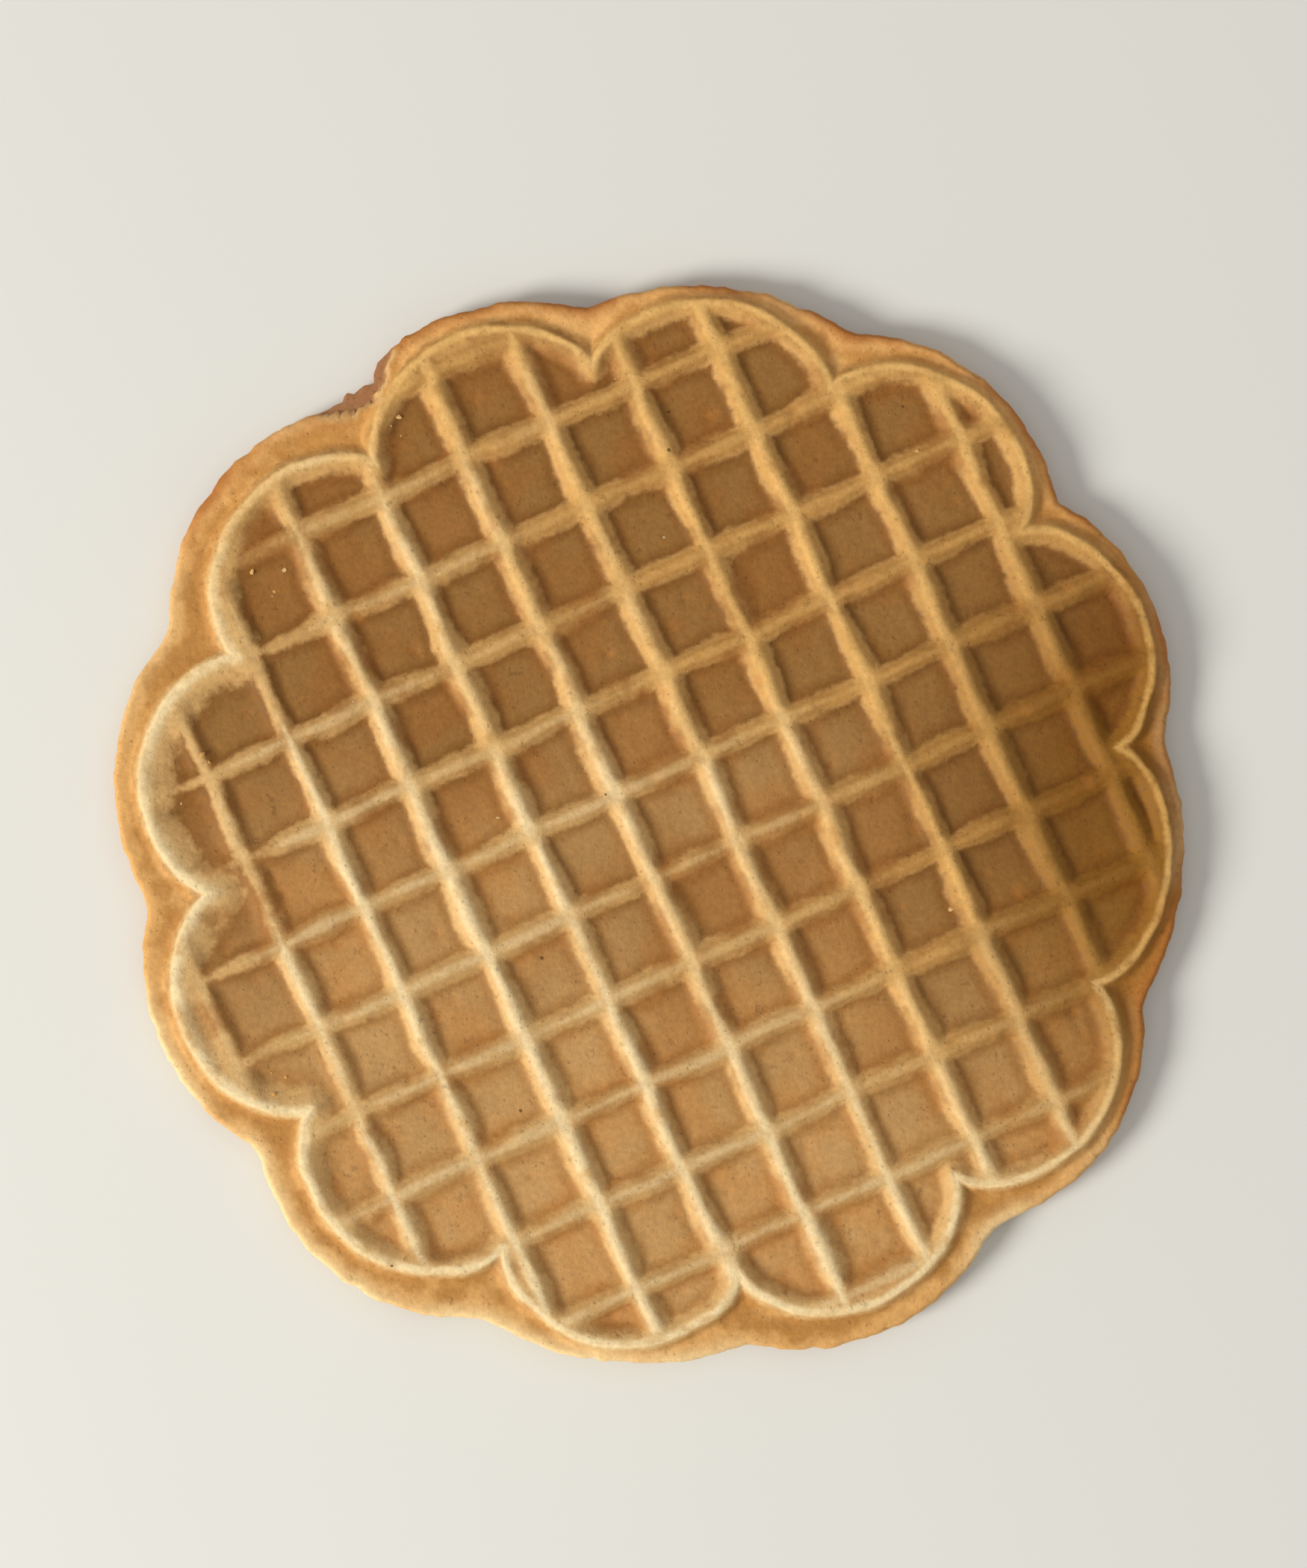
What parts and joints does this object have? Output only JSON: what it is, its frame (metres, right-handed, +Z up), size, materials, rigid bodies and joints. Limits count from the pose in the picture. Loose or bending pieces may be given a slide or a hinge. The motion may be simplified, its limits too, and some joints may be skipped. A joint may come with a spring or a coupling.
{
  "type": "pizzelle wafer cookie",
  "caption": "Thin round wafer cookie with a scalloped edge, a raised arc inside each scallop and a waffle lattice pressed into both faces.",
  "frame": {"origin": "centre of the cookie's box on the surface it lies on, level with its lower ridges", "axes": "+Z up out of the shown face, +Y towards the top of the shown face, +X to its right"},
  "size_m": [0.1266, 0.1272, 0.0048],
  "materials": {
    "wafer": null
  },
  "bodies": {
    "root": {"pizzelle": "wafer"}
  },
  "joints": []
}
